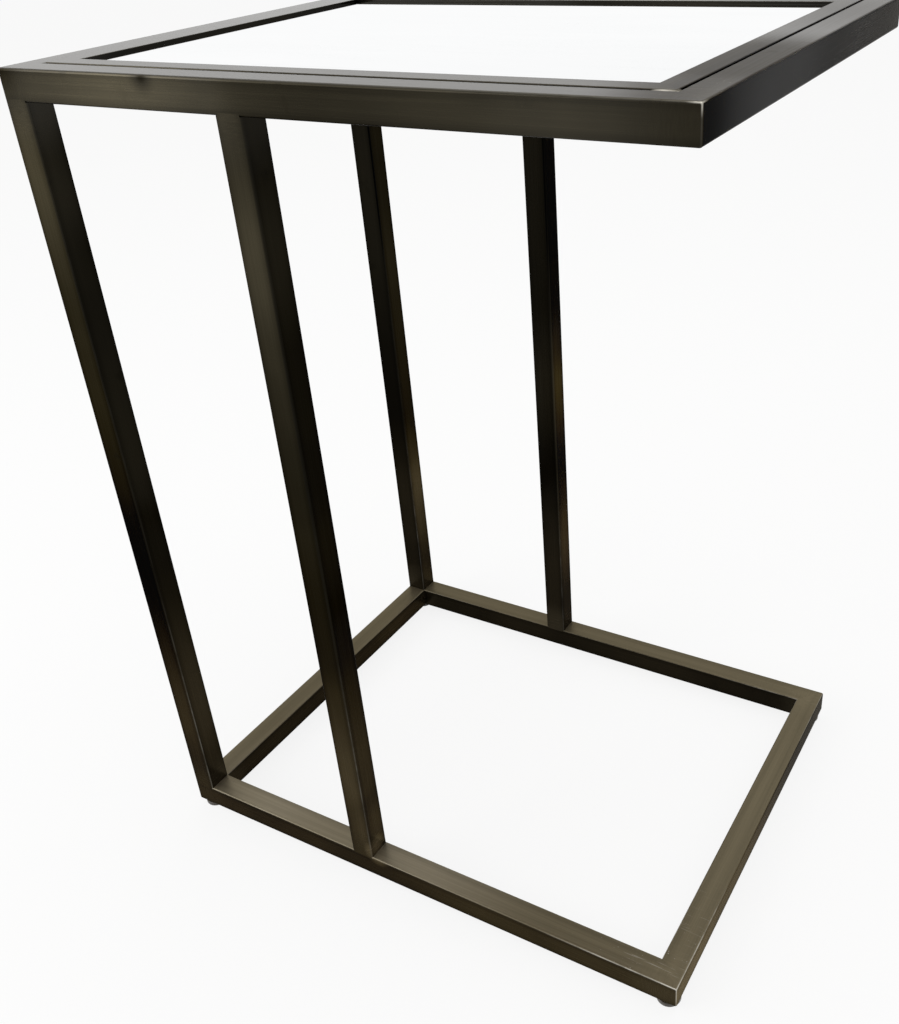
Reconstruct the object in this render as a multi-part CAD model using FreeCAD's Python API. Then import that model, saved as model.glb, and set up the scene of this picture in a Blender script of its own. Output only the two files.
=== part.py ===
"""C-shaped side table: square steel tube frame, inset mirror top, four levelling feet.

Frame: origin on the floor under the middle of the table, +X towards the open front,
+Y to the right side seen from the front, +Z up. All sizes are millimetres.
"""
import FreeCAD, Part
import math
import os
from FreeCAD import Rotation, Vector

# Overall frame
table_length = 464.0  # back face to front face, along X
table_depth = 360.0  # left face to right face, along Y
frame_height = 624.0  # underside of the base rails to the top of the top rails
middle_setback = 176.0  # back face of the frame to the back face of the middle uprights

# Square tube that all twelve frame members are cut from
tube_side = 20.0
tube_wall = 1.5
tube_edge_radius = 1.6

# Inner frame that borders the mirror
groove_width = 0.6  # open groove between the rails and the inner frame
inner_bar_width = 15.0
inner_bar_wall = 1.2
inner_edge_radius = 0.6
inner_proud = 0.4  # the inner frame stands this far above the rails

# Mirror panel, its board and the soft dots that it lies on
panel_recess = 2.0  # mirror face below the top of the inner frame
mirror_thickness = 5.0
mirror_arris = 0.5
board_thickness = 6.0
board_setback = 1.0  # board edge inside the mirror edge
dot_diameter = 8.0
dot_thickness = 2.0
panel_clearance = 0.5  # between the mirror edge and the inner frame
dot_end_shares = (-1.0, 0.0, 1.0)
dot_side_shares = (-1.0, 1.0)

# Ledge strips welded inside the top rails
ledge_thickness = 3.0
ledge_reach = 10.0  # past the inner face of the inner frame

# Tack weld that closes the groove at the left front corner
weld_depth = 3.0
weld_left_run = 14.0  # along the left rail
weld_front_run = 4.0  # along the front rail
weld_crown = 0.3  # above the top of the rails

# Levelling feet
foot_diameter = 18.6
foot_height = 4.2
foot_sole_radius = 1.4
foot_rim_radius = 0.9
socket_depth = 2.5
collar_flats = 10.0
collar_height = 1.8
stem_diameter = 5.9
stem_length = 14.0  # above the collar
stem_chamfer = 0.6
bush_flange_diameter = 14.0
bush_flange_height = 8.0
bush_spigot_diameter = 10.0
running_clearance = 0.05  # radial, round the stem
spigot_clearance = 0.1  # radial, between the bush and the hole in the rail

# Cuts run past the faces by this much
overrun = 1.0

# Places that follow from the sizes above
half = 0.5
base_bottom = foot_height + collar_height
base_top = base_bottom + tube_side
rail_top = base_bottom + frame_height
rail_bottom = rail_top - tube_side
inner_top = rail_top + inner_proud
inner_bar_height = panel_recess + mirror_thickness + board_thickness + dot_thickness
ledge_top = inner_top - inner_bar_height
well_length = table_length - 2 * tube_side
well_depth = table_depth - 2 * tube_side
inner_length = well_length - 2 * groove_width
inner_depth = well_depth - 2 * groove_width
opening_length = inner_length - 2 * inner_bar_width
opening_depth = inner_depth - 2 * inner_bar_width
stem_bore = stem_diameter + 2 * running_clearance
foot_x = half * (table_length - tube_side)
foot_y = half * (table_depth - tube_side)

UP = Vector(0, 0, 1)
FULL_TURN = 360.0
QUARTER_TURN = 90.0
HEXAGON_SIDES = 6
SIDES = {"left": 0, "front": 1, "right": 2, "back": 3}  # quarter turns from the left side
CORNERS = {"left_front": (1, -1), "left_back": (-1, -1), "right_front": (1, 1), "right_back": (-1, 1)}


def block(length, depth, height, bottom):
    """Box centred on the origin in plan, standing at the given height."""
    return Part.makeBox(length, depth, height, Vector(-half * length, -half * depth, bottom))


def cylinder(diameter, height, bottom):
    """Upright cylinder on the origin's axis."""
    return Part.makeCylinder(half * diameter, height, Vector(0, 0, bottom))


def ring(length, depth, width, height, bottom, radius):
    """Rectangle of square bar as one solid, with its long edges and outer corners rounded."""
    window = block(length - 2 * width, depth - 2 * width, height + 2 * overrun, bottom - overrun)
    solid = block(length, depth, height, bottom)
    if radius == 0:
        return solid.cut(window)
    solid = solid.makeFillet(radius, solid.Edges).cut(window)
    reach = window.BoundBox
    reach.enlarge(radius)
    level_edges = [edge for edge in solid.Edges if edge.BoundBox.ZLength < radius]
    return solid.makeFillet(radius, [edge for edge in level_edges if reach.isInside(edge.BoundBox)])


def mitre_wedge(run, span, width, height, bottom):
    """Prism that keeps one mitred side of a ring, the -Y side of a ring that is run by span in plan."""
    outer = -half * span - overrun
    inner = -half * span + width + overrun
    long_end = half * run + overrun
    short_end = half * run - width - overrun
    ends = [(-long_end, outer), (long_end, outer), (short_end, inner), (-short_end, inner)]
    corners = [Vector(x, y, bottom - overrun) for x, y in ends]
    return Part.Face(Part.makePolygon(corners + corners[:1])).extrude(UP * (height + 2 * overrun))


def mitred_frame(length, depth, width, height, bottom, radius, wall=0, holes=()):
    """Four mitred bars round a rectangle, as a dictionary from side to solid.

    The rectangle is rounded, bored and drilled as one ring, and then cut along its mitres.
    """
    solid = ring(length, depth, width, height, bottom, radius)
    if wall:
        bore_section = (width - 2 * wall, height - 2 * wall, bottom + wall, 0)
        solid = solid.cut(ring(length - 2 * wall, depth - 2 * wall, *bore_section))
    for hole in holes:
        solid = solid.cut(hole)
    bars = {}
    for side, turns in SIDES.items():
        run, span = (length, depth) if turns % 2 == 0 else (depth, length)
        wedge = mitre_wedge(run, span, width, height, bottom)
        wedge.rotate(Vector(0, 0, 0), UP, turns * QUARTER_TURN)
        bars[side] = solid.common(wedge)
    return bars


def tube_frame(bottom, holes=()):
    """Rectangle of four mitred tubes as long and deep as the table."""
    section = (tube_side, tube_side, bottom, tube_edge_radius, tube_wall)
    return mitred_frame(table_length, table_depth, *section, holes)


def upright(x, side_sign):
    """Tube standing between the base rails and the top rails."""
    height = rail_bottom - base_top
    bore = tube_side - 2 * tube_wall
    post = block(tube_side, tube_side, height, base_top)
    long_edges = [edge for edge in post.Edges if edge.BoundBox.ZLength > half * height]
    post = post.makeFillet(tube_edge_radius, long_edges).cut(block(bore, bore, height, base_top))
    post.translate(Vector(x, side_sign * foot_y, 0))
    return post


def weld_fills():
    """Welds that fill a rail's rounded edge flush with an upright at the origin.

    The first lies along the upright's -Y face, and the second goes on from it round the -X, -Y corner.
    """
    outer = -half * tube_side
    inner = outer + tube_edge_radius
    toe = Vector(inner, outer, base_top - tube_edge_radius)
    heel = Vector(inner, outer, base_top)
    root = Vector(inner, inner, base_top)
    rise = tube_edge_radius * half ** half
    crown = Vector(inner, inner - rise, base_top - tube_edge_radius + rise)
    edges = [Part.makeLine(toe, heel), Part.makeLine(heel, root), Part.Arc(root, crown, toe).toShape()]
    section = Part.Face(Part.Wire(edges))
    along = section.extrude(Vector(tube_side - 2 * tube_edge_radius, 0, 0))
    return along, section.revolve(root, -UP, QUARTER_TURN)


def upright_welds(x, side_sign, faces, corners):
    """Weld fills at the foot and head of one upright, along its flush faces and round its flush corners."""
    middle = half * (base_top + rail_bottom)
    along, round_corner = weld_fills()
    welds = []
    for fill, side in [(along, face) for face in faces] + [(round_corner, corner) for corner in corners]:
        foot = fill.copy()
        foot.rotate(Vector(0, 0, 0), UP, SIDES[side] * QUARTER_TURN)
        foot.translate(Vector(x, side_sign * foot_y, 0))
        welds += [foot, foot.mirror(Vector(0, 0, middle), UP)]
    return welds


def mirror_panel():
    """Mirror sheet with a fine arris round its upper edge."""
    length = opening_length - 2 * panel_clearance
    depth = opening_depth - 2 * panel_clearance
    bottom = inner_top - panel_recess - mirror_thickness
    sheet = block(length, depth, mirror_thickness, bottom)
    face = max(sheet.Faces, key=lambda side: side.CenterOfMass.z)
    return sheet.makeChamfer(mirror_arris, face.Edges)


def backing_board():
    """Board that the mirror is bonded to."""
    margin = panel_clearance + board_setback
    bottom = ledge_top + dot_thickness
    return block(opening_length - 2 * margin, opening_depth - 2 * margin, board_thickness, bottom)


def cushion_dots():
    """Soft dots under the board, resting on the middle of the ledge."""
    reach_x = half * (opening_length - ledge_reach)
    reach_y = half * (opening_depth - ledge_reach)
    dots = []
    for end_share in dot_end_shares:
        for side_share in dot_side_shares:
            dot = cylinder(dot_diameter, dot_thickness, ledge_top)
            dot.translate(Vector(end_share * reach_x, side_share * reach_y, 0))
            dots.append(dot)
    return Part.makeCompound(dots)


def tack_weld(neighbours):
    """Ground weld that fills the groove's corner flush between the rails and the inner frame."""
    margin = tube_edge_radius + inner_edge_radius
    corner = Vector(half * well_length + tube_edge_radius, -half * well_depth - tube_edge_radius, 0)
    across = groove_width + margin
    bottom = rail_top - weld_depth
    height = weld_depth + weld_crown
    left_leg = Part.makeBox(weld_left_run + margin, across, height)
    left_leg.translate(corner + Vector(-weld_left_run - margin, 0, bottom))
    front_leg = Part.makeBox(across, weld_front_run + margin, height)
    front_leg.translate(corner + Vector(-across, 0, bottom))
    bead = left_leg.fuse(front_leg).removeSplitter()
    for piece in neighbours:
        bead = bead.cut(piece)
    return max(bead.Solids, key=lambda piece: piece.Volume)


def leveller_bush():
    """Flanged bush on the bottom wall of the base corner, bored for the stem."""
    flange = cylinder(bush_flange_diameter, bush_flange_height, base_bottom + tube_wall)
    spigot = cylinder(bush_spigot_diameter, tube_wall, base_bottom)
    bore = cylinder(stem_bore, bush_flange_height + tube_wall, base_bottom)
    return flange.fuse(spigot).cut(bore).removeSplitter()


def leveller_stem():
    """Screw stem with a hexagon collar, its lower end turning in the foot's socket."""
    step = FULL_TURN / HEXAGON_SIDES
    corner = Vector(half * collar_flats / math.cos(math.radians(half * step)), 0, 0)
    points = [Rotation(UP, count * step).multVec(corner) for count in range(HEXAGON_SIDES)]
    collar = Part.Face(Part.makePolygon(points + points[:1])).extrude(UP * collar_height)
    collar.translate(UP * foot_height)
    shank = cylinder(stem_diameter, stem_length, base_bottom)
    tip = max(shank.Faces, key=lambda side: side.CenterOfMass.z)
    shank = shank.makeChamfer(stem_chamfer, tip.Edges)
    pivot = cylinder(stem_diameter, socket_depth, foot_height - socket_depth)
    return shank.fuse(collar).fuse(pivot).removeSplitter()


def leveller_foot():
    """Round glide with a softened rim and a socket for the stem."""
    disc = cylinder(foot_diameter, foot_height, 0)
    sole = min(disc.Faces, key=lambda face: face.CenterOfMass.z)
    disc = disc.makeFillet(foot_sole_radius, sole.Edges)
    rim = max(disc.Faces, key=lambda face: face.CenterOfMass.z)
    disc = disc.makeFillet(foot_rim_radius, rim.Edges)
    socket = cylinder(stem_bore, socket_depth + overrun, foot_height - socket_depth)
    return disc.cut(socket)


def at_corner(shape, corner):
    """Copy of a shape moved to one corner of the base."""
    sign_x, sign_y = CORNERS[corner]
    moved = shape.copy()
    moved.translate(Vector(sign_x * foot_x, sign_y * foot_y, 0))
    return moved


def build():
    """All pieces of the table, by name."""
    pieces = {}
    hole_diameter = bush_spigot_diameter + 2 * spigot_clearance
    hole = cylinder(hole_diameter, tube_wall + 2 * overrun, base_bottom - overrun)
    top_rails = tube_frame(rail_bottom)
    base_rails = tube_frame(base_bottom, [at_corner(hole, corner) for corner in CORNERS])
    for side in SIDES:
        pieces[side + "_top_rail"] = top_rails[side]
        pieces[side + "_base_rail"] = base_rails[side]

    middle_x = -half * table_length + middle_setback + half * tube_side
    back_corners = {"left": "left", "right": "back"}
    for side, sign in (("left", -1), ("right", 1)):
        pieces[side + "_back_upright"] = upright(-foot_x, sign)
        pieces[side + "_middle_upright"] = upright(middle_x, sign)
        welds = upright_welds(-foot_x, sign, (side, "back"), (back_corners[side],))
        welds += upright_welds(middle_x, sign, ("left", "right"), ())
        pieces[side + "_upright_welds"] = Part.makeCompound(welds)

    inner_section = (inner_bar_width, inner_bar_height, ledge_top, inner_edge_radius, inner_bar_wall)
    inner_bars = mitred_frame(inner_length, inner_depth, *inner_section)
    ledge_width = groove_width + inner_bar_width + ledge_reach
    ledge_section = (ledge_width, ledge_thickness, ledge_top - ledge_thickness, 0)
    ledges = mitred_frame(well_length, well_depth, *ledge_section)
    for side in SIDES:
        pieces[side + "_inner_bar"] = inner_bars[side]
        pieces[side + "_ledge"] = ledges[side]
    neighbours = [bars[side] for bars in (top_rails, inner_bars) for side in ("left", "front")]
    pieces["corner_tack_weld"] = tack_weld(neighbours)

    pieces["mirror_panel"] = mirror_panel()
    pieces["backing_board"] = backing_board()
    pieces["cushion_dots"] = cushion_dots()

    for corner in CORNERS:
        pieces[corner + "_leveller_bush"] = at_corner(leveller_bush(), corner)
        pieces[corner + "_leveller_stem"] = at_corner(leveller_stem(), corner)
        pieces[corner + "_leveller_foot"] = at_corner(leveller_foot(), corner)
    return pieces


os.makedirs("parts", exist_ok=True)
for node, shape in build().items():
    shape.exportStep("parts/" + node + ".step")
    print(f"{node}: solids {len(shape.Solids)}, valid {shape.isValid()}, volume {shape.Volume:.1f} mm3")
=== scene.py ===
# %% [markdown]
# # A C-shaped side table in dark bronze
# The table is twelve lengths of square tube welded into a C: a top frame, an open base frame and
# four uprights near the back. A mirror lies inside a narrower border, and four small levelling
# feet screw into the corners of the base. The solids are already built and packed, so this lesson
# gives them their finishes, adds the few small forms that a solid modeller leaves plain, and sets
# up the camera, the floor and the light.

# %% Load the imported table
import math

import bpy
import numpy as np
from mathutils import Matrix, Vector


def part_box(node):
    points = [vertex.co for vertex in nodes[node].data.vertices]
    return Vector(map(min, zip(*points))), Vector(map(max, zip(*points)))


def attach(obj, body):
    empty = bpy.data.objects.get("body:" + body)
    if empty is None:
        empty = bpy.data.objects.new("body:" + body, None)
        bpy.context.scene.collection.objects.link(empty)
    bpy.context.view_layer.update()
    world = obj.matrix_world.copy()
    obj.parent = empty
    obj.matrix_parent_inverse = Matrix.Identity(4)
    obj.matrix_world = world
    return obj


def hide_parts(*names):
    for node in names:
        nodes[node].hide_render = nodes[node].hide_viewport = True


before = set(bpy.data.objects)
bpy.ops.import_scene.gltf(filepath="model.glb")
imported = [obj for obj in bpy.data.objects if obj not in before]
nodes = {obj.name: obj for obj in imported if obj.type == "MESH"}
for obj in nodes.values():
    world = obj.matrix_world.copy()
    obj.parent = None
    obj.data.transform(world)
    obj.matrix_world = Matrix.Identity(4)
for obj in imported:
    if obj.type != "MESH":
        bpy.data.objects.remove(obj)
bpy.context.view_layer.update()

MM = 0.001

# %% [markdown]
# ## The camera
# The photograph was taken by hand from above the open front corner, with the camera tilted a few
# degrees. A camera can be placed by eye, but here the edges of the tubes were measured in the
# picture and a pinhole camera was fitted to them. The fit gives a place, three angles, a focal
# length in pixels and the pixel that the lens points at. That pixel isn't in the middle of the
# picture, because the picture was cropped, and the camera's shift says so.

# %% Place the camera
PICTURE_WIDTH, PICTURE_HEIGHT = 899, 1024
FOCAL_PIXELS = 1104.5
AXIS_PIXEL = (518.53, 514.95)
CAMERA_PLACE = (0.4139, -0.6517, 0.7268)
CAMERA_AZIMUTH, CAMERA_DOWN, CAMERA_ROLL = (math.radians(angle) for angle in (31.44, 30.95, -3.68))
SENSOR = 36.0
NEAREST_SEEN = 0.01


def camera_axes(azimuth, down, roll):
    """Right, up and backward axes: the view points along azimuth, dips by down, then rolls."""
    forward = np.array([-math.sin(azimuth) * math.cos(down),
                        math.cos(azimuth) * math.cos(down),
                        -math.sin(down)])
    level = np.cross(forward, (0, 0, 1))
    level /= np.linalg.norm(level)
    upright = np.cross(level, forward)
    right = math.cos(roll) * level + math.sin(roll) * upright
    up = -math.sin(roll) * level + math.cos(roll) * upright
    return right, up, -forward


camera = bpy.data.objects.new("camera", bpy.data.cameras.new("camera"))
bpy.context.scene.collection.objects.link(camera)
camera_matrix = np.eye(4)
camera_matrix[:3, :3] = np.column_stack(camera_axes(CAMERA_AZIMUTH, CAMERA_DOWN, CAMERA_ROLL))
camera_matrix[:3, 3] = CAMERA_PLACE
camera.matrix_world = Matrix(camera_matrix.tolist())
camera.data.sensor_fit = "AUTO"
camera.data.sensor_width = SENSOR
camera.data.lens = FOCAL_PIXELS * SENSOR / PICTURE_HEIGHT
camera.data.shift_x = (PICTURE_WIDTH / 2 - AXIS_PIXEL[0]) / PICTURE_HEIGHT
camera.data.shift_y = (AXIS_PIXEL[1] - PICTURE_HEIGHT / 2) / PICTURE_HEIGHT
camera.data.clip_start = NEAREST_SEEN
bpy.context.scene.camera = camera
print("lens in mm:", round(camera.data.lens, 2), "shift:", round(camera.data.shift_x, 4))

# %% [markdown]
# ## Small helpers for shader nodes
# A finish is a network of nodes. Two helpers keep the cells short: one adds a node and fills or
# links its sockets, the other starts a node group with named sockets. A group is a finish effect
# that several materials share, such as grain or worn edges.

# %% Node helpers
def add(tree, kind, sockets=None, **settings):
    """Adds a shader node. A socket gets a value, or a link if it is given another node's output."""
    made = tree.nodes.new("ShaderNode" + kind)
    for name, value in settings.items():
        setattr(made, name, value)
    for key, value in (sockets or {}).items():
        if isinstance(value, bpy.types.NodeSocket):
            tree.links.new(value, made.inputs[key])
        else:
            made.inputs[key].default_value = value
    return made


def calc(tree, operation, *values):
    """One step of arithmetic on numbers or outputs."""
    return add(tree, "Math", dict(enumerate(values)), operation=operation).outputs[0]


def ramp(tree, value, start, stop, low=0.0, high=1.0):
    """Goes smoothly from low at start to high at stop."""
    sockets = {"Value": value, "From Min": start, "From Max": stop, "To Min": low, "To Max": high}
    return add(tree, "MapRange", sockets, interpolation_type="SMOOTHSTEP").outputs[0]


def tint(tree, share, first, second):
    """Mixes two colours: share 0 gives the first and 1 the second."""
    return add(tree, "Mix", {0: share, 6: first, 7: second}, data_type="RGBA").outputs[2]


def stretched(tree, vector, scale, turn=(0, 0, 0)):
    """Object coordinates turned and multiplied, so that a pattern is drawn out along one axis."""
    return add(tree, "Mapping", {"Vector": vector, "Scale": scale, "Rotation": turn}).outputs[0]


def noise(tree, vector, scale, detail=2.0, roughness=0.5):
    """Soft random values from 0 to 1, one swing about every 1/scale metres."""
    sockets = {"Vector": vector, "Scale": scale, "Detail": detail, "Roughness": roughness}
    return add(tree, "TexNoise", sockets).outputs["Fac"]


def start_group(name, inputs, outputs):
    """Starts a node group. Inputs and outputs pair a socket's name with its kind."""
    tree = bpy.data.node_groups.new(name, "ShaderNodeTree")
    for direction, sockets in (("INPUT", inputs), ("OUTPUT", outputs)):
        for socket, kind in sockets.items():
            tree.interface.new_socket(socket, in_out=direction, socket_type="NodeSocket" + kind)
    return tree, tree.nodes.new("NodeGroupInput").outputs, tree.nodes.new("NodeGroupOutput").inputs


def use_group(tree, group, **sockets):
    """Places a group in a material and returns its outputs. Underscores in names stand for spaces."""
    named = {name.replace("_", " "): value for name, value in sockets.items()}
    return add(tree, "Group", named, node_tree=group).outputs


# %% [markdown]
# ## What the bronze finish does
# Dark bronze on steel is a thin brown layer over brushed metal, under a little clear lacquer. Five
# things show in the photograph. Faint brush lines run along each tube. The brown is cloudy, and a
# painted shade makes it darkest half way up the uprights. Painted shade darkens each face beside
# its arrises, so each is lighter in its middle. The upward faces are painted lighter, as painted
# light. At the corners of the base the arrises are worn to bright metal.
# Each of these could be painted on a texture, but a group of nodes keeps its detail at any
# distance, and it is the same on every tube.

# %% Brush lines and cloudy patina
STREAK_SCALE, BAND_SCALE = 1.0, 0.11
CLOUD_SCALE, SMUDGE_SCALE, SPECK_SCALE = 7.0, 42.0, 520.0
CLOUD_SPAN, SMUDGE_SPAN, SPECK_SPAN = (0.3, 0.7), (0.6, 0.74), (0.73, 0.79)
grain_group, given, result = start_group(
    "brushed grain", {"Vector": "Vector"}, {"Streak": "Float", "Band": "Float"})
grain_group.links.new(noise(grain_group, given["Vector"], STREAK_SCALE, 4.0, 0.65), result["Streak"])
grain_group.links.new(noise(grain_group, given["Vector"], BAND_SCALE, 2.0), result["Band"])

patina_group, given, result = start_group(
    "cloudy patina", {"Vector": "Vector"}, {"Cloud": "Float", "Smudge": "Float", "Speck": "Float"})
cloud = ramp(patina_group, noise(patina_group, given["Vector"], CLOUD_SCALE, 3.0, 0.5), *CLOUD_SPAN)
smudge = ramp(patina_group, noise(patina_group, given["Vector"], SMUDGE_SCALE, 3.0, 0.6), *SMUDGE_SPAN)
speck = ramp(patina_group, noise(patina_group, given["Vector"], SPECK_SCALE, 1.0), *SPECK_SPAN)
for socket, value in (("Cloud", cloud), ("Smudge", smudge), ("Speck", speck)):
    patina_group.links.new(value, result[socket])
print("groups:", grain_group.name, "and", patina_group.name)

# %% [markdown]
# ## Worn edges without a texture
# The tubes stand square to the axes, so on a flat face one part of the surface normal is exactly
# one and the others are zero. On a rounded arris no part reaches one. One minus the largest part
# is therefore a mask of the arrises, and no edge has to be selected by hand. Noise breaks it up,
# because hands and floors wear an edge unevenly.

# %% Worn arrises, and upward faces for painted light
BREAKUP_SCALE, BREAKUP_SPAN, BREAKUP_SHARES = 55.0, (0.35, 0.68), (0.2, 1.0)
ARRIS_SPAN, TOP_SPAN = (0.05, 0.24), (0.45, 0.97)
edge_and_top_group, given, result = start_group(
    "worn edges and upward faces", {"Vector": "Vector", "Normal": "Vector"}, {"Arris": "Float", "Top": "Float"})
parts = add(edge_and_top_group, "SeparateXYZ", {0: given["Normal"]}).outputs
sizes = [calc(edge_and_top_group, "ABSOLUTE", part) for part in parts]
largest = calc(edge_and_top_group, "MAXIMUM", calc(edge_and_top_group, "MAXIMUM", sizes[0], sizes[1]), sizes[2])
off_axis = calc(edge_and_top_group, "SUBTRACT", 1.0, largest)
breakup = noise(edge_and_top_group, given["Vector"], BREAKUP_SCALE, 4.0, 0.6)
breakup = ramp(edge_and_top_group, breakup, *BREAKUP_SPAN, *BREAKUP_SHARES)
arris = calc(edge_and_top_group, "MULTIPLY", ramp(edge_and_top_group, off_axis, *ARRIS_SPAN), breakup)
edge_and_top_group.links.new(arris, result["Arris"])
# Top marks the upward faces, which the bronze paints lighter as painted light.
edge_and_top_group.links.new(ramp(edge_and_top_group, parts[2], *TOP_SPAN), result["Top"])

# %% Fine scratches
SCRATCH_TURNS = ((0.2, 0.1, 0.55), (0.1, 0.3, -0.75), (0.4, 0.2, 1.9))
SCRATCH_STRETCH = (45, 1300, 1300)
SPARSE_SCALE = 24.0
SCRATCH_SPAN, SPARSE_SPAN = (0.69, 0.76), (0.42, 0.62)
scratch_group, given, result = start_group("fine scratches", {"Vector": "Vector"}, {"Scratch": "Float"})
turned = [stretched(scratch_group, given["Vector"], SCRATCH_STRETCH, turn) for turn in SCRATCH_TURNS]
layers = [noise(scratch_group, vector, 1.0, 1.0) for vector in turned]
deepest = calc(scratch_group, "MAXIMUM", layers[0], layers[1])
deepest = calc(scratch_group, "MAXIMUM", deepest, layers[2])
sparse = ramp(scratch_group, noise(scratch_group, given["Vector"], SPARSE_SCALE, 2.0), *SPARSE_SPAN)
scratch = calc(scratch_group, "MULTIPLY", ramp(scratch_group, deepest, *SCRATCH_SPAN), sparse)
scratch_group.links.new(scratch, result["Scratch"])
print("groups:", edge_and_top_group.name, "and", scratch_group.name)

# %% [markdown]
# ## Across a tube, and away from a joint
# Two more masks need to know where a point lies on the table. The first runs from 0 in the middle
# of a tube's face to 1 at its arris. Tubes come in pairs, so folding the table over its middle
# lays each pair on top of each other, and one sum serves both. The second is the distance from the
# nearest joint: each one was welded and ground flush, so round it the bronze is lighter and the
# grinder's marks cross the brush lines. All sizes come from the solids.

# %% Across a tube
section_group, given, result = start_group(
    "tube section", {"Vector": "Vector", "Middle": "Vector", "Spacing": "Vector", "Half": "Vector"},
    {"Across": "Float"})
folded = given["Vector"]
for operation, *other in (("SUBTRACT", given["Middle"]), ("ABSOLUTE",), ("SUBTRACT", given["Spacing"]),
                          ("ABSOLUTE",), ("DIVIDE", given["Half"])):
    sockets = dict(enumerate((folded, *other)))
    folded = add(section_group, "VectorMath", sockets, operation=operation).outputs[0]
parts = add(section_group, "SeparateXYZ", {0: folded}).outputs
least = calc(section_group, "MINIMUM", calc(section_group, "MINIMUM", parts[0], parts[1]), parts[2])
section_group.links.new(least, result["Across"])

FAR_AWAY = -1.0


def tube_pairs(along, pairs):
    """Middle, spacing and half width of paired tubes on each axis. Along its own axis a tube counts as
    far away."""
    middle, spacing, half = [0.0] * 3, [FAR_AWAY] * 3, [MM] * 3
    for axis, pair in pairs.items():
        spans = [[corner[axis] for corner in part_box(name)] for name in pair]
        centres = [sum(span) / 2 for span in spans]
        middle[axis] = sum(centres) / 2
        spacing[axis] = abs(centres[1] - centres[0]) / 2
        half[axis] = (spans[0][1] - spans[0][0]) / 2
    return along, dict(Middle=middle, Spacing=spacing, Half=half)


levels = ("left_base_rail", "left_top_rail")
inner_level = ("left_inner_bar", "left_inner_bar")
tube_families = {
    "long rails": tube_pairs(0, {1: ("left_top_rail", "right_top_rail"), 2: levels}),
    "short rails": tube_pairs(1, {0: ("back_top_rail", "front_top_rail"), 2: levels}),
    "uprights": tube_pairs(2, {0: ("left_back_upright", "left_middle_upright"),
                               1: ("left_back_upright", "right_back_upright")}),
    "long inner bars": tube_pairs(0, {1: ("left_inner_bar", "right_inner_bar"), 2: inner_level}),
    "short inner bars": tube_pairs(1, {0: ("back_inner_bar", "front_inner_bar"), 2: inner_level}),
}
for family, pair in tube_families.items():
    print(family, "spacing in mm:", [round(side / MM, 1) for side in pair[1]["Spacing"]])

# %% Away from a joint
UPRIGHT_LOW, UPRIGHT_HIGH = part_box("left_middle_upright")
CORNER = (tube_families["short rails"][1]["Spacing"][0], tube_families["long rails"][1]["Spacing"][1])
GROUND_REACH, WORN_REACH = (0.045, 0.045 * 0.3), (0.12, 0.12 * 0.2)
KICKED_FRONT, KICKED_NEAR = (0.0, 0.2, 0.1, 1.0), (0.1, -0.15, 0.35, 1.0)
WOBBLE_SCALE, WOBBLE = 60.0, 0.02
joint_group, given, result = start_group(
    "ground joints", {"Vector": "Vector"}, {"Corner": "Float", "End": "Float", "Worn": "Float"})
place = add(joint_group, "SeparateXYZ", {0: given["Vector"]}).outputs
wobble = calc(joint_group, "MULTIPLY", noise(joint_group, given["Vector"], WOBBLE_SCALE, 3.0), WOBBLE)
offsets = [calc(joint_group, "SUBTRACT", calc(joint_group, "ABSOLUTE", part), centre)
           for part, centre in zip(place[:2], CORNER)]
squares = [calc(joint_group, "MULTIPLY", offset, offset) for offset in offsets]
corner_distance = calc(joint_group, "SQRT", calc(joint_group, "ADD", *squares))
half_height = (UPRIGHT_HIGH.z - UPRIGHT_LOW.z) / 2
from_middle = calc(joint_group, "SUBTRACT", place[2], UPRIGHT_LOW.z + half_height)
end_distance = calc(joint_group, "SUBTRACT", half_height, calc(joint_group, "ABSOLUTE", from_middle))
for socket, distance in (("Corner", corner_distance), ("End", end_distance)):
    uneven = calc(joint_group, "ADD", wobble, distance)
    joint_group.links.new(ramp(joint_group, uneven, *GROUND_REACH), result[socket])
kicked = calc(joint_group, "MULTIPLY", ramp(joint_group, place[0], *KICKED_FRONT),
              ramp(joint_group, place[1], *KICKED_NEAR))
worn = ramp(joint_group, calc(joint_group, "ADD", wobble, corner_distance), *WORN_REACH)
joint_group.links.new(calc(joint_group, "MULTIPLY", worn, kicked), result["Worn"])
print("corner in mm:", [round(part / MM, 1) for part in CORNER])
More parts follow.
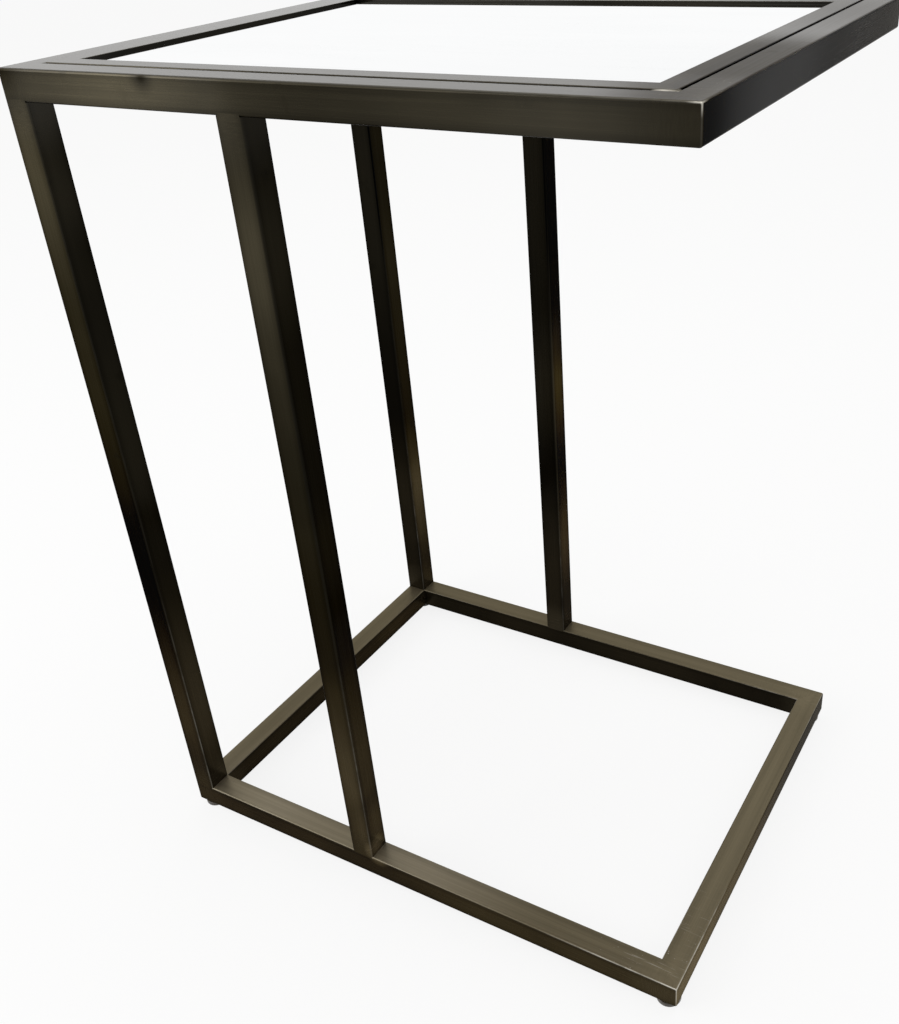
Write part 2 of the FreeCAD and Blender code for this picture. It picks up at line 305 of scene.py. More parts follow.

# %% [markdown]
# ## Patches of painted light and shade
# The bronze's colour carries painted light and shade. The outer end faces near the floor at the
# front get painted light, and the faces that look into the C get painted shade. Each listed patch
# is a ball with a middle, a reach and a share, and it fades out from its middle. On the sides a
# share above zero is a painted highlight of lighter bronze, and one below zero is painted shade or
# a dark smudge. On the table's top a patch is painted shade with a duller polish, and on the base's
# top it is a painted highlight of lighter bronze. The last list is of painted highlights, as bright
# metal, on arrises and on the tack weld. For the painted shade, a face looks inward when its normal
# points to the middle of the table.

# %% Patches of painted light and shade
TOP_LIGHT_SHADE_PATCHES = (((0.215, -0.178, 0.630), 0.060, 0.70), ((0.210, -0.080, 0.630), 0.110, 1.30),
               ((0.215, 0.120, 0.630), 0.230, 0.55),
               ((0.000, -0.170, 0.026), 0.130, 1.00), ((-0.150, -0.170, 0.026), 0.110, 0.90))
SIDE_LIGHT_SHADE_PATCHES = (((-0.128, -0.180, 0.616), 0.100, 1.30), ((-0.223, -0.180, 0.581), 0.100, 0.50),
                ((-0.044, -0.180, 0.536), 0.070, 0.35), ((0.163, -0.180, 0.618), 0.060, 0.20),
                ((0.020, -0.180, 0.620), 0.120, -0.18), ((0.240, -0.180, 0.620), 0.055, -0.22),
                ((-0.040, 0.168, 0.298), 0.090, 0.80), ((0.118, 0.180, 0.616), 0.110, 0.80),
                ((-0.046, -0.175, 0.160), 0.140, 0.55), ((-0.030, -0.174, 0.033), 0.016, 5.00),
                ((-0.108, -0.180, 0.629), 0.013, -1.30), ((-0.232, -0.180, 0.630), 0.034, -0.45),
                ((-0.190, -0.150, 0.580), 0.050, -0.80), ((-0.190, -0.150, 0.520), 0.050, -0.50),
                ((-0.028, -0.165, 0.055), 0.035, 0.90), ((0.240, -0.075, 0.620), 0.100, 0.22),
                ((0.240, 0.140, 0.620), 0.070, -0.06))
ARRIS_HIGHLIGHT_PATCHES = (((0.231, -0.179, 0.630), 0.008, 0.80), ((0.205, -0.159, 0.630), 0.008, 0.90),
                 ((-0.036, -0.180, 0.110), 0.130, 0.07))
light_shade_patch_group, given, result = start_group(
    "painted light and shade patches", {"Vector": "Vector"}, {"Tops": "Float", "Sides": "Float", "Arrises": "Float"})
for socket, patches in (("Tops", TOP_LIGHT_SHADE_PATCHES), ("Sides", SIDE_LIGHT_SHADE_PATCHES), ("Arrises", ARRIS_HIGHLIGHT_PATCHES)):
    total = 0.0
    for centre, reach, share in patches:
        ends = {0: given["Vector"], 1: centre}
        away = add(light_shade_patch_group, "VectorMath", ends, operation="DISTANCE").outputs["Value"]
        total = calc(light_shade_patch_group, "ADD", ramp(light_shade_patch_group, away, reach, 0.0, 0.0, share), total)
    light_shade_patch_group.links.new(total, result[socket])
print("patches:", len(TOP_LIGHT_SHADE_PATCHES), len(SIDE_LIGHT_SHADE_PATCHES), len(ARRIS_HIGHLIGHT_PATCHES))

# %% Painted shade on inward faces, painted light on outer end faces
UPPER_SHADE_HEIGHTS, LOWER_SHADE_HEIGHTS = (0.22, 0.48), (0.06, 0.18)
NEAR_SHARES, FAR_SHARES = ((0.1, 0.72), (0.30, 0.1)), ((-1.2, 0.55), (0.25, -1.2))
SHADE_DEPTH = 0.17
INWARD_Y_SHARE = 0.7
LOOKS_IN, LOOKS_OUT = (0.2, -0.95), (0.2, 0.95)
END_LIGHT_HEIGHTS, END_LIGHT_SHARES = (0.08, 0.04), (-0.18, 0.10, 3.8, 0.0)
inward_shade_group, given, result = start_group(
    "painted inward shade and end light", {"Vector": "Vector", "Normal": "Vector"}, {"Tone": "Float"})
place = add(inward_shade_group, "SeparateXYZ", {0: given["Vector"]}).outputs
facing = add(inward_shade_group, "SeparateXYZ", {0: given["Normal"]}).outputs
outwards = [calc(inward_shade_group, "MULTIPLY", calc(inward_shade_group, "SIGN", where), way)
            for where, way in zip(place[:2], facing[:2])]
inward = [ramp(inward_shade_group, way, *LOOKS_IN) for way in outwards]
height_shares = []
for upper_shares, lower_shares in (NEAR_SHARES, FAR_SHARES):
    upper_part = ramp(inward_shade_group, place[2], *UPPER_SHADE_HEIGHTS, *upper_shares)
    lower_part = ramp(inward_shade_group, place[2], *LOWER_SHADE_HEIGHTS, *lower_shares)
    height_shares.append(calc(inward_shade_group, "MAXIMUM", upper_part, lower_part))
depth_share = ramp(inward_shade_group, place[1], -SHADE_DEPTH, SHADE_DEPTH, *height_shares)
# Painted shade: faces that look into the C are darker.
painted_shade_x = calc(inward_shade_group, "MULTIPLY", inward[0], depth_share)
painted_shade_y = calc(inward_shade_group, "MULTIPLY", inward[1], INWARD_Y_SHARE)
# Painted light: outer end faces near the floor, towards the front, are lighter.
end_face = ramp(inward_shade_group, outwards[0], *LOOKS_OUT)
painted_end_light = calc(inward_shade_group, "MULTIPLY", end_face, ramp(inward_shade_group, place[2], *END_LIGHT_HEIGHTS))
painted_end_light = calc(inward_shade_group, "MULTIPLY", painted_end_light, ramp(inward_shade_group, place[1], *END_LIGHT_SHARES))
tone = calc(inward_shade_group, "SUBTRACT", 1.0, calc(inward_shade_group, "ADD", painted_shade_x, painted_shade_y))
tone = calc(inward_shade_group, "ADD", tone, painted_end_light)
inward_shade_group.links.new(tone, result["Tone"])
print("groups:", light_shade_patch_group.name, "and", inward_shade_group.name)

# %% [markdown]
# ## The bronze itself
# The finish is metal, so its colour is the colour of its reflections. On the table's top a polished
# clear coat adds the grey sheen that shows at low angles, and on its sides a thin lacquer does.
# Towards the floor the patina is thick and dull, so there the finish is only partly metal, and the
# rest scatters light with no sheen of its own. One function makes it for every family of tubes,
# because the brush lines turn with the tube. Wear, clouds and brush lines change colour, roughness
# and bump together, as they do on real metal.
# Its colour also carries painted light and shade: lighter upward faces, a darker middle on the uprights,
# darker faces beside the arrises and inside the C, lighter outer end faces, and patches.

# %% Bronze
# Painted shade: the deep tone darkens the sides half way up; the brown below and the olive above are
# lighter.
MIDDLE_SHADE_BRONZE = (0.0080, 0.0065, 0.0036, 1)
BROWN_BRONZE = (0.0335, 0.0262, 0.0150, 1)
OLIVE_BRONZE = (0.0280, 0.0240, 0.0150, 1)
# Painted light: upward faces take these tones, far lighter than the sides. The first is also the bronze of
# rubbed ground joints.
RUBBED_AND_TOP_LIGHT_BRONZE = (0.134, 0.113, 0.072, 1)
# Painted light and shade: the tones that the top patches turn to, lighter on the base, darker on the
# table.
PAINTED_SHEEN_BRONZE = (0.215, 0.187, 0.133, 1)
TABLE_TOP_LIGHT_BRONZE = (0.075, 0.068, 0.050, 1)
TABLE_DULL_SHADE = (0.062, 0.055, 0.040, 1)
TABLE_POLISH, DULL_POLISH = 0.70, 0.22
# Bright metal for worn arrises, scratches and specks, and for painted highlights.
BARE_METAL_AND_HIGHLIGHT = (0.62, 0.59, 0.52, 1)
EDGE_TONE = (0.3, 0.29, 0.27, 1)
FLOOR_END_METAL = 0.6
GRAIN_ALONG, GRAIN_ACROSS = 9.0, 850.0
CROSS_ALONG, CROSS_ACROSS, CROSS_TURN = 900.0, 140.0, (0.5, 0.35, 0.6)
LOW_HEIGHTS, HIGH_HEIGHTS = (0.25, 0.09), (0.22, 0.54)
UPPER_HEIGHTS, TABLE_HEIGHTS = (0.45, 0.61), (0.60, 0.62)
STREAK_SPAN = (0.25, 0.75)
CLOUD_TONES, SMUDGE_TONES, STREAK_TONES = (0.78, 1.25), (1.0, 0.85), (0.92, 1.08)
# Painted shade: each face is darker beside its arrises than in its middle.
ARRIS_SHADE_TONES = (0.35, 1, 1.1, 0.7)
PATCH_STRENGTH = 1.8
GROUND_RUB, GROUND_TOP = (0.03, 0.12), 0.12
BAND_TONES, TOP_STREAK_TONES = (0.85, 1.12), (0.9, 1.1)
CORNER_WEAR = (0.04, 0.8)
MARK_SHARE = 0.3
BRUSHED_ROUGHNESS, TOP_ROUGHER, SMUDGE_ROUGHER = (0.22, 0.30), 0.13, 0.08
FLOOR_LACQUER, TABLE_LACQUER = (0.10, 0.03, 0.02, 0.015), (0.57, 0.61, 0.02, 0.13)
CLOUD_LACQUER, PATCH_LACQUER = (1.1, 0.9), (-0.3, 0.3, 0.25, 1.75)
LACQUER_ROUGHNESS = 0.1
SCRATCH_RELIEF, BRUSH_STRENGTH, BRUSH_DEPTH = -0.5, 0.08, 0.2 * MM


def new_material(name, **values):
    """Starts a material and sets its shader's plain sockets. Returns it, its tree and those sockets."""
    material = bpy.data.materials.new(name)
    material.use_nodes = True
    shader = material.node_tree.nodes["Principled BSDF"]
    for socket, value in values.items():
        shader.inputs[socket.replace("_", " ")].default_value = value
    return material, material.node_tree, shader.inputs


def shade(tree, colour, value):
    """Makes a colour darker or lighter by a factor."""
    plain = colour if isinstance(colour, bpy.types.NodeSocket) else colour[:3]
    return add(tree, "VectorMath", {0: plain, "Scale": value}, operation="SCALE").outputs[0]


def bronze(name, family, joint, ground=0.0, arris_base=0.02, arris_low=0.0, highlight_patch=0.0):
    """Bronze brushed along a family of tubes. Joint names the ground mask, and ground adds to it all over.
    Arris_base and arris_low wear the arrises, everywhere and towards the floor. The last argument paints
    bright metal in the arris patches on flat faces too, as painted highlights."""
    along, section = tube_families[family]
    material, tree, shader = new_material(
        name, Specular_Tint=EDGE_TONE, Specular_IOR_Level=0.0, Coat_Roughness=LACQUER_ROUGHNESS)
    coordinate = add(tree, "TexCoord").outputs
    vector = coordinate["Object"]
    height = add(tree, "SeparateXYZ", {0: vector}).outputs[2]
    scale = [GRAIN_ACROSS] * 3
    scale[along] = GRAIN_ALONG
    grain = use_group(tree, grain_group, Vector=stretched(tree, vector, scale))
    scale = [CROSS_ACROSS] * 3
    scale[along] = CROSS_ALONG
    cross = use_group(tree, grain_group, Vector=stretched(tree, vector, scale, CROSS_TURN))
    patina = use_group(tree, patina_group, Vector=vector)
    wear = use_group(tree, edge_and_top_group, Vector=vector, Normal=coordinate["Normal"])
    scratch = use_group(tree, scratch_group, Vector=vector)["Scratch"]
    joints = use_group(tree, joint_group, Vector=vector)
    patches = use_group(tree, light_shade_patch_group, Vector=vector)
    # Painted shade on the inward faces and painted light on the outer end faces.
    painted_shade_and_light = use_group(tree, inward_shade_group, Vector=vector, Normal=coordinate["Normal"])["Tone"]
    across = use_group(tree, section_group, Vector=vector, **section)["Across"]
    ground_mask = calc(tree, "MAXIMUM", joints[joint], ground)
    streak = tint(tree, ground_mask, grain["Streak"], cross["Streak"])

    low = ramp(tree, height, *LOW_HEIGHTS)
    high = ramp(tree, height, *HIGH_HEIGHTS)
    upper = ramp(tree, height, *UPPER_HEIGHTS)
    # Painted shade: the sides go from brown at the floor to darkest half way up, then olive towards the
    # top.
    side = tint(tree, high, tint(tree, low, MIDDLE_SHADE_BRONZE, BROWN_BRONZE), OLIVE_BRONZE)
    tone = ramp(tree, patina["Cloud"], 0, 1, *CLOUD_TONES)
    # Of these factors the arris tones, the inward faces and the side patches are painted shade and light;
    # cloud, streak and smudge are the patina's own.
    for factor in (ramp(tree, across, *ARRIS_SHADE_TONES), ramp(tree, streak, *STREAK_SPAN, *STREAK_TONES),
                   ramp(tree, patina["Smudge"], 0, 1, *SMUDGE_TONES), painted_shade_and_light,
                   calc(tree, "MULTIPLY_ADD", patches["Sides"], PATCH_STRENGTH, 1.0)):
        tone = calc(tree, "MULTIPLY", tone, factor)
    rubbed = calc(tree, "MULTIPLY", ground_mask, ramp(tree, low, 0, 1, *GROUND_RUB))
    side = tint(tree, rubbed, shade(tree, side, tone), RUBBED_AND_TOP_LIGHT_BRONZE)
    top_tone = ramp(tree, grain["Band"], *STREAK_SPAN, *BAND_TONES)
    top_tone = calc(tree, "MULTIPLY_ADD", ground_mask, GROUND_TOP, top_tone)
    top_tone = calc(tree, "MULTIPLY", top_tone, ramp(tree, streak, *STREAK_SPAN, *TOP_STREAK_TONES))
    # Painted light and shade: the top patches darken the table's top and lighten the base's top.
    table = tint(tree, patches["Tops"], TABLE_TOP_LIGHT_BRONZE, TABLE_DULL_SHADE)
    base = tint(tree, patches["Tops"], RUBBED_AND_TOP_LIGHT_BRONZE, PAINTED_SHEEN_BRONZE)
    # Painted light: upward faces get a far lighter bronze than the sides, on the base and on the table's
    # top.
    top = shade(tree, tint(tree, upper, base, table), top_tone)
    colour = tint(tree, wear["Top"], side, top)

    corner_wear = calc(tree, "MULTIPLY", joints["Worn"], ramp(tree, low, 0, 1, *CORNER_WEAR))
    arris_wear = calc(tree, "MULTIPLY_ADD", low, arris_low, calc(tree, "ADD", corner_wear, arris_base))
    # Painted highlights: the arris patches add bright metal.
    arris_wear = calc(tree, "ADD", arris_wear, patches["Arrises"])
    bare_and_highlight = calc(tree, "MULTIPLY", wear["Arris"], arris_wear)
    marks = calc(tree, "MULTIPLY", calc(tree, "MAXIMUM", scratch, patina["Speck"]), MARK_SHARE)
    marks = calc(tree, "MULTIPLY", marks, calc(tree, "MULTIPLY", wear["Top"], joints["Worn"]))
    bare_and_highlight = calc(tree, "MAXIMUM", bare_and_highlight, marks)
    bare_and_highlight = calc(tree, "MAXIMUM", bare_and_highlight, calc(tree, "MULTIPLY", patches["Arrises"], highlight_patch))
    tree.links.new(tint(tree, bare_and_highlight, colour, BARE_METAL_AND_HIGHLIGHT), shader["Base Color"])
    tree.links.new(ramp(tree, low, 0, 1, 1.0, FLOOR_END_METAL), shader["Metallic"])

    rough = ramp(tree, streak, *STREAK_SPAN, *BRUSHED_ROUGHNESS)
    rough = calc(tree, "MULTIPLY_ADD", wear["Top"], TOP_ROUGHER, rough)
    rough = calc(tree, "MULTIPLY_ADD", patina["Smudge"], SMUDGE_ROUGHER, rough)
    tree.links.new(rough, shader["Roughness"])
    lacquer = calc(tree, "MAXIMUM", ramp(tree, height, *FLOOR_LACQUER), ramp(tree, height, *TABLE_LACQUER))
    lacquer = calc(tree, "MULTIPLY", lacquer, ramp(tree, patina["Cloud"], 0, 1, *CLOUD_LACQUER))
    lacquer = calc(tree, "MULTIPLY", lacquer, ramp(tree, patches["Sides"], *PATCH_LACQUER))
    polish = calc(tree, "MULTIPLY", wear["Top"], ramp(tree, height, *TABLE_HEIGHTS))
    polish = calc(tree, "MULTIPLY", polish, ramp(tree, patches["Tops"], 0, 1, TABLE_POLISH, DULL_POLISH))
    tree.links.new(calc(tree, "MAXIMUM", lacquer, polish), shader["Coat Weight"])

    relief = calc(tree, "MULTIPLY_ADD", scratch, SCRATCH_RELIEF, streak)
    bump = add(tree, "Bump", {"Strength": BRUSH_STRENGTH, "Distance": BRUSH_DEPTH, "Height": relief})
    tree.links.new(bump.outputs[0], shader["Normal"])
    return material


tube_finishes = {
    "long rails": bronze("bronze long rails", "long rails", "Corner"),
    "short rails": bronze("bronze short rails", "short rails", "Corner"),
    "uprights": bronze("bronze uprights", "uprights", "End", arris_base=0.004, arris_low=0.06),
    "long inner bars": bronze("bronze long inner bars", "long inner bars", "Corner"),
    "short inner bars": bronze("bronze short inner bars", "short inner bars", "Corner"),
}
weld_finish = bronze("ground weld", "uprights", "End", ground=0.7, arris_base=0.004)
# Painted highlight: the tack weld shows bright metal on its arrises and in its arris patch.
tack_finish = bronze("ground tack", "long rails", "Corner", ground=0.7, arris_base=0.3, highlight_patch=1.0)
print("finishes:", [finish.name for finish in tube_finishes.values()])

# %% [markdown]
# ## The mirror and what lies under it
# A mirror is bright metal behind clear glass. It could be made of two surfaces, but metal with a
# full coat does both in one shader, and a trace of dust and wiping marks in the roughness keeps it
# from looking like a hole. The board, the soft dots and the ledge show only from below.

# %% Mirror
MIRROR_SILVER = (0.86, 0.885, 0.895, 1)
MIRROR_DUSTY = (0.78, 0.80, 0.81, 1)
MIRROR_ROUGHNESS = (0.015, 0.06)
WIPE_STRETCH, WIPE_TURN, WIPE_SPAN = (6, 40, 1), (0, 0, 0.4), (0.4, 0.7)
DUST_SCALE, DUST_SPAN = 900.0, (0.35, 0.7)
BROAD_SCALE = 1 / 12
FINE_SHARE, BROAD_SHARE, SPECKLE_SPAN = 0.65, 0.35, (0.3, 0.7)
SPECKLE_STRENGTH, SPECKLE_DEPTH = 0.25, 0.1 * MM


def mirror():
    """Silvered glass: wiping marks run in long arcs, and dust is finer."""
    material, tree, shader = new_material("mirror", Metallic=1.0, Coat_Weight=1.0, Coat_Roughness=0.01)
    vector = add(tree, "TexCoord").outputs["Object"]
    wiped = noise(tree, stretched(tree, vector, WIPE_STRETCH, WIPE_TURN), 1.0, 4.0, 0.6)
    dust = noise(tree, vector, DUST_SCALE, 2.0)
    film = calc(tree, "MULTIPLY", ramp(tree, wiped, *WIPE_SPAN), ramp(tree, dust, *DUST_SPAN))
    tree.links.new(tint(tree, film, MIRROR_SILVER, MIRROR_DUSTY), shader["Base Color"])
    tree.links.new(ramp(tree, film, 0, 1, *MIRROR_ROUGHNESS), shader["Roughness"])
    return material


def speckled(name, first, second, scale, rough, **values):
    """Two mixed tones with a fine uneven surface, for boards, paint, plastic and plating."""
    material, tree, shader = new_material(name, **values)
    vector = add(tree, "TexCoord").outputs["Object"]
    broad = noise(tree, vector, scale * BROAD_SCALE, 3.0)
    fine = noise(tree, vector, scale, 4.0, 0.65)
    share = calc(tree, "MULTIPLY_ADD", fine, FINE_SHARE, calc(tree, "MULTIPLY", broad, BROAD_SHARE))
    share = ramp(tree, share, *SPECKLE_SPAN)
    tree.links.new(tint(tree, share, first, second), shader["Base Color"])
    tree.links.new(ramp(tree, share, 0, 1, *rough), shader["Roughness"])
    bump = add(tree, "Bump", {"Strength": SPECKLE_STRENGTH, "Distance": SPECKLE_DEPTH, "Height": fine})
    tree.links.new(bump.outputs[0], shader["Normal"])
    return material


finishes = {
    "mirror_panel": mirror(),
    "backing_board": speckled(
        "hardboard", (0.21, 0.125, 0.07, 1), (0.37, 0.25, 0.155, 1), 700, (0.62, 0.8)),
    "cushion_dots": speckled(
        "soft dots", (0.66, 0.68, 0.67, 1), (0.8, 0.82, 0.81, 1), 400, (0.35, 0.5)),
    "ledge": speckled(
        "ledge paint", (0.035, 0.03, 0.025, 1), (0.06, 0.052, 0.042, 1), 900, (0.4, 0.55)),
    "leveller_foot": speckled(
        "glide", (0.035, 0.028, 0.02, 1), (0.075, 0.062, 0.045, 1), 500, (0.16, 0.32)),
    "leveller_bush": speckled(
        "zinc plate", (0.48, 0.48, 0.46, 1), (0.68, 0.67, 0.62, 1), 300, (0.24, 0.4), Metallic=1.0),
}
finishes["leveller_stem"] = finishes["leveller_bush"]
print("other finishes:", sorted(finishes))

# %% Give every solid its finish
def finish_of(name):
    """The finish of a solid, from the end and the start of its name."""
    if name.endswith(("welds", "weld")):
        return weld_finish
    if name.endswith("upright"):
        return tube_finishes["uprights"]
    length = "long" if name.startswith(("left", "right")) else "short"
    if name.endswith("rail"):
        return tube_finishes[length + " rails"]
    if name.endswith("inner_bar"):
        return tube_finishes[length + " inner bars"]
    return next(made for ending, made in finishes.items() if name.endswith(ending))


for name, solid in nodes.items():
    solid.data.materials.clear()
    solid.data.materials.append(finish_of(name))
print("dressed solids:", len(nodes))

# %% [markdown]
# ## Surfaces on a grid
# The new pieces are closed surfaces: rows of points run from one pole to the other, and each row
# goes once round. They could be drawn by hand, but computed points keep to the sizes of the solids,
# and numpy works them all out at once. The faces are quads between neighbouring rows, with a fan of
# triangles at each pole, and the last column is joined to the first, so no seam is left open.

# %% Make a closed piece
SHARP_ANGLE = math.radians(35)


def closed_piece(name, points, finish):
    """Makes a mesh from rows of points, from a pole to a pole. Seen along the way from the first pole to
    the last, the rows turn anticlockwise, and the faces then point outward."""
    rows, columns = points.shape[:2]
    inner = points[1:-1].reshape(-1, 3)
    vertices = np.vstack((points[0, :1], inner, points[-1, :1]))
    here = np.arange(columns)
    after = (here + 1) % columns
    starts = 1 + columns * np.arange(rows - 3)[:, None]
    ends = starts + columns
    quads = np.stack((starts + here, ends + here, ends + after, starts + after), axis=-1)
    last = len(vertices) - 1
    first_fan = np.stack((np.zeros(columns, int), 1 + here, 1 + after), axis=-1)
    last_fan = np.stack((np.full(columns, last), last - columns + after, last - columns + here), axis=-1)
    mesh = bpy.data.meshes.new(name)
    faces = quads.reshape(-1, 4).tolist() + first_fan.tolist() + last_fan.tolist()
    mesh.from_pydata(vertices.tolist(), [], faces)
    mesh.shade_smooth()
    mesh.set_sharp_from_angle(angle=SHARP_ANGLE)
    mesh.materials.append(finish)
    piece = bpy.data.objects.new(name, mesh)
    bpy.context.scene.collection.objects.link(piece)
    return piece


# %% [markdown]
# ## Threaded levelling stems
# Under each corner a screw with a six-sided collar carries a round foot. The solid of the screw is
# a plain cylinder, and its thread shows as soon as the foot is wound out. A thread is a helix: the
# radius rises and falls once for each turn and each pitch of height. One surface makes the pivot,
# the collar and the thread, because each is just another rule for the radius.

# %% Levelling stems
STEM_RADIUS = 2.95 * MM
PITCH = 1.0 * MM
THREAD_DEPTH = 0.6 * MM
THREAD_STEEPNESS = 1.25
COLLAR_CHAMFER = 0.3 * MM
TIP_CHAMFER = 0.6 * MM
STEM_COLUMNS, ROWS_PER_PITCH = 48, 12
CORNERS = ("left_front", "left_back", "right_front", "right_back")


def stem_points(corner):
    """Rows up the screw. On the collar the radius is the flat's distance over the cosine of the angle from
    the middle of the flat. On the thread it falls from the crest by a wave of the height in pitches less
    the share of a turn. The wave is clipped, which leaves narrow flats on the crest and the root."""
    low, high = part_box(corner + "_leveller_stem")
    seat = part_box(corner + "_leveller_foot")[1].z
    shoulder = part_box(corner.split("_")[0] + "_base_rail")[0].z
    size = high - low
    across_flats = min(size.x, size.y)
    crest = STEM_RADIUS
    turn = np.linspace(0, 2 * math.pi, STEM_COLUMNS, endpoint=False)
    thread_rows = np.linspace(shoulder, high.z, round((high.z - shoulder) / PITCH) * ROWS_PER_PITCH + 1)
    flat_turn = 0.0 if size.x < size.y else math.pi / 6
    from_flat = (turn - flat_turn + math.pi / 6) % (math.pi / 3) - math.pi / 6
    hexagon = across_flats / 2 / np.cos(from_flat)
    wave = np.abs(2 * ((thread_rows[:, None] / PITCH - turn / (2 * math.pi)) % 1) - 1)
    thread = crest - THREAD_DEPTH * np.clip(THREAD_STEEPNESS * wave - (THREAD_STEEPNESS - 1) / 2, 0, 1)
    tip = crest - np.clip(thread_rows - (high.z - TIP_CHAMFER), 0, None)
    thread = np.minimum(thread, tip[:, None])
    round_row = np.full(STEM_COLUMNS, crest)
    collar = [(seat, hexagon - COLLAR_CHAMFER), (seat + COLLAR_CHAMFER, hexagon),
              (shoulder - COLLAR_CHAMFER, hexagon), (shoulder, hexagon - COLLAR_CHAMFER)]
    rows = [(low.z, round_row * 0), (low.z, round_row), (seat, round_row)] + collar
    heights = np.concatenate(([row[0] for row in rows], thread_rows, [high.z]))
    radii = np.vstack([row[1] for row in rows] + [thread, round_row[None] * 0])
    centre = (low + high) / 2
    x = centre.x + radii * np.cos(turn)
    y = centre.y + radii * np.sin(turn)
    return np.stack((x, y, np.broadcast_to(heights[:, None], radii.shape)), axis=-1)


for corner in CORNERS:
    stem = closed_piece(corner + "_threaded_stem", stem_points(corner)[::-1], finishes["leveller_stem"])
    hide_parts(corner + "_leveller_stem")
    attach(stem, corner + "_stem")
print("faces in a stem:", len(stem.data.polygons))

# %% [markdown]
# ## The ground tack weld
# One tack weld closes the groove at the front left corner of the top. It was ground nearly flush,
# so it is a low swelling with soft shoulders. A sphere pressed flat would do from far away, but
# the weld turns the corner, so a flattened loop is carried along a bent path instead, and shrinks
# to a point at both ends.

# %% Tack weld
WELD_HALF_WIDTH = 2.6 * MM
WELD_BEND = 0.35
WELD_FLATNESS = 2.0
WELD_END_POWER = 6
WELD_ROWS, WELD_COLUMNS = 41, 32


def weld_points():
    """The path is a hyperbola between the two grooves. Round it goes a flattened ellipse, whose sines and
    cosines are raised to two over the flatness. Its size is the root of one minus a high power of the
    way along the path."""
    low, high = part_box("corner_tack_weld")
    bend_x = (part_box("front_top_rail")[0].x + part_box("front_inner_bar")[1].x) / 2
    bend_y = (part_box("left_top_rail")[1].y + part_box("left_inner_bar")[0].y) / 2
    along = np.linspace(-1, 1, WELD_ROWS)[:, None]
    turn = np.linspace(0, 2 * math.pi, WELD_COLUMNS, endpoint=False)
    hypotenuse = np.sqrt(along ** 2 + WELD_BEND ** 2)
    path_x = bend_x - (bend_x - low.x) * (hypotenuse - along) / 2
    path_y = bend_y + (high.y - bend_y) * (hypotenuse + along) / 2
    slope = np.stack((np.gradient(path_x[:, 0]), np.gradient(path_y[:, 0])), axis=-1)
    slope /= np.linalg.norm(slope, axis=1, keepdims=True)
    size = np.sqrt(np.clip(1 - along ** WELD_END_POWER, 0, 1))
    cosine, sine = np.cos(turn), np.sin(turn)
    sideways = size * WELD_HALF_WIDTH * np.sign(cosine) * np.abs(cosine) ** (2 / WELD_FLATNESS)
    upward = size * (high.z - low.z) / 2 * np.sign(sine) * np.abs(sine) ** (2 / WELD_FLATNESS)
    x = path_x - sideways * slope[:, 1:]
    y = path_y + sideways * slope[:, :1]
    return np.stack((x, y, (low.z + high.z) / 2 + upward), axis=-1)


weld = closed_piece("ground_tack_weld", weld_points()[::-1], tack_finish)
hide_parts("corner_tack_weld")
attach(weld, "frame")
weld_low, weld_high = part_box("corner_tack_weld")
print("weld in mm:", [round(side / MM, 2) for side in weld_high - weld_low])

# %% [markdown]
# ## Floor and light
# The object stands on a plain pale floor. The background has to be white without pouring light on
# the dark metal, so the floor and the sky shine plainly for the camera and for reflections, and
# light the scene with less. A real floor still shades under it, so the shadow stays.

# %% Floor, sky and lamps
FLOOR_SIZE = 30.0
SKY_LIGHT = 0.7
FLOOR_GLOW = 0.85
FLOOR_COLOUR = (0.86, 0.86, 0.85, 1)
WHITE = (1, 1, 1, 1)


def seen_rays(tree):
    """One for rays from the camera, in reflections and through glass, zero for light that scatters."""
    path = add(tree, "LightPath").outputs
    seen = calc(tree, "MAXIMUM", path["Is Camera Ray"], path["Is Glossy Ray"])
    return calc(tree, "MAXIMUM", seen, path["Is Transmission Ray"])


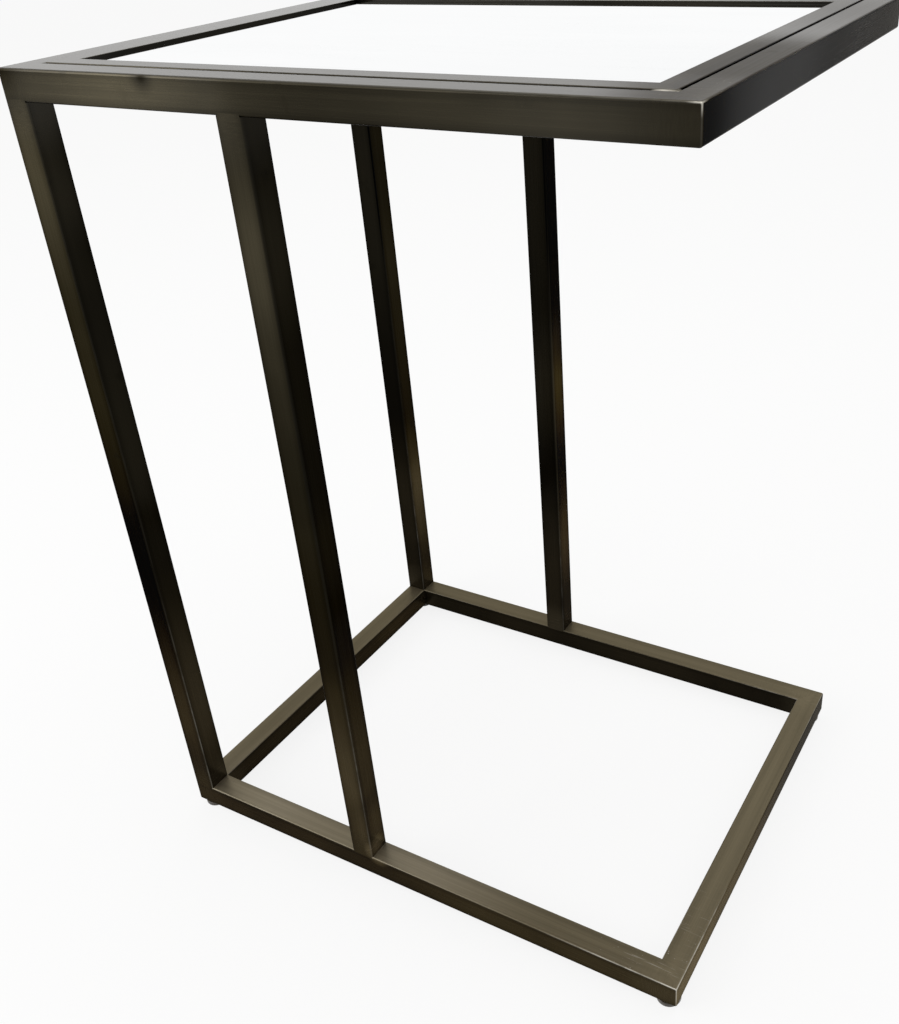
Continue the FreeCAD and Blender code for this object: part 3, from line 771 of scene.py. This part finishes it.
world = bpy.data.worlds.new("studio")
world.use_nodes = True
bpy.context.scene.world = world
world_tree = world.node_tree
strength = ramp(world_tree, seen_rays(world_tree), 0, 1, SKY_LIGHT, 1.0)
world_tree.links.new(strength, world_tree.nodes["Background"].inputs["Strength"])
world_tree.nodes["Background"].inputs["Color"].default_value = WHITE

corners = np.array([(-1, -1, 0), (1, -1, 0), (1, 1, 0), (-1, 1, 0)]) * FLOOR_SIZE / 2
floor_mesh = bpy.data.meshes.new("floor")
floor_mesh.from_pydata(corners.tolist(), [], [(0, 1, 2, 3)])
floor = bpy.data.objects.new("floor", floor_mesh)
bpy.context.scene.collection.objects.link(floor)
floor_finish, floor_tree, _ = new_material(
    "pale floor", Base_Color=FLOOR_COLOUR, Roughness=0.9, Specular_IOR_Level=0.1)
glow = add(floor_tree, "Emission", {"Color": WHITE, "Strength": 1.0}).outputs[0]
share = calc(floor_tree, "MULTIPLY", seen_rays(floor_tree), FLOOR_GLOW)
dull = floor_tree.nodes["Principled BSDF"].outputs[0]
mixed = add(floor_tree, "MixShader", {0: share, 1: dull, 2: glow}).outputs[0]
floor_tree.links.new(mixed, floor_tree.nodes["Material Output"].inputs["Surface"])
floor_mesh.materials.append(floor_finish)


def soft_box(name, place, aim, size, power):
    """A square area lamp at place that faces aim."""
    lamp = bpy.data.objects.new(name, bpy.data.lights.new(name, "AREA"))
    lamp.data.size = size
    lamp.data.energy = power
    bpy.context.scene.collection.objects.link(lamp)
    backward = np.array(place) - np.array(aim)
    backward = backward / np.linalg.norm(backward)
    level = np.cross((0, 0, 1), backward)
    level = level / np.linalg.norm(level)
    matrix = np.eye(4)
    matrix[:3, :3] = np.column_stack((level, np.cross(backward, level), backward))
    matrix[:3, 3] = place
    lamp.matrix_world = Matrix(matrix.tolist())
    lamp.visible_camera = False


soft_box("key", place=(-1.7, -1.6, 1.3), aim=(0, 0, 0.35), size=1.6, power=24.0)
soft_box("overhead", place=(0.3, 0.3, 2.5), aim=(0, 0, 0), size=1.6, power=14.0)
bpy.context.scene.view_settings.view_transform = "Standard"
print("lamps:", [lamp.name for lamp in bpy.data.lights])
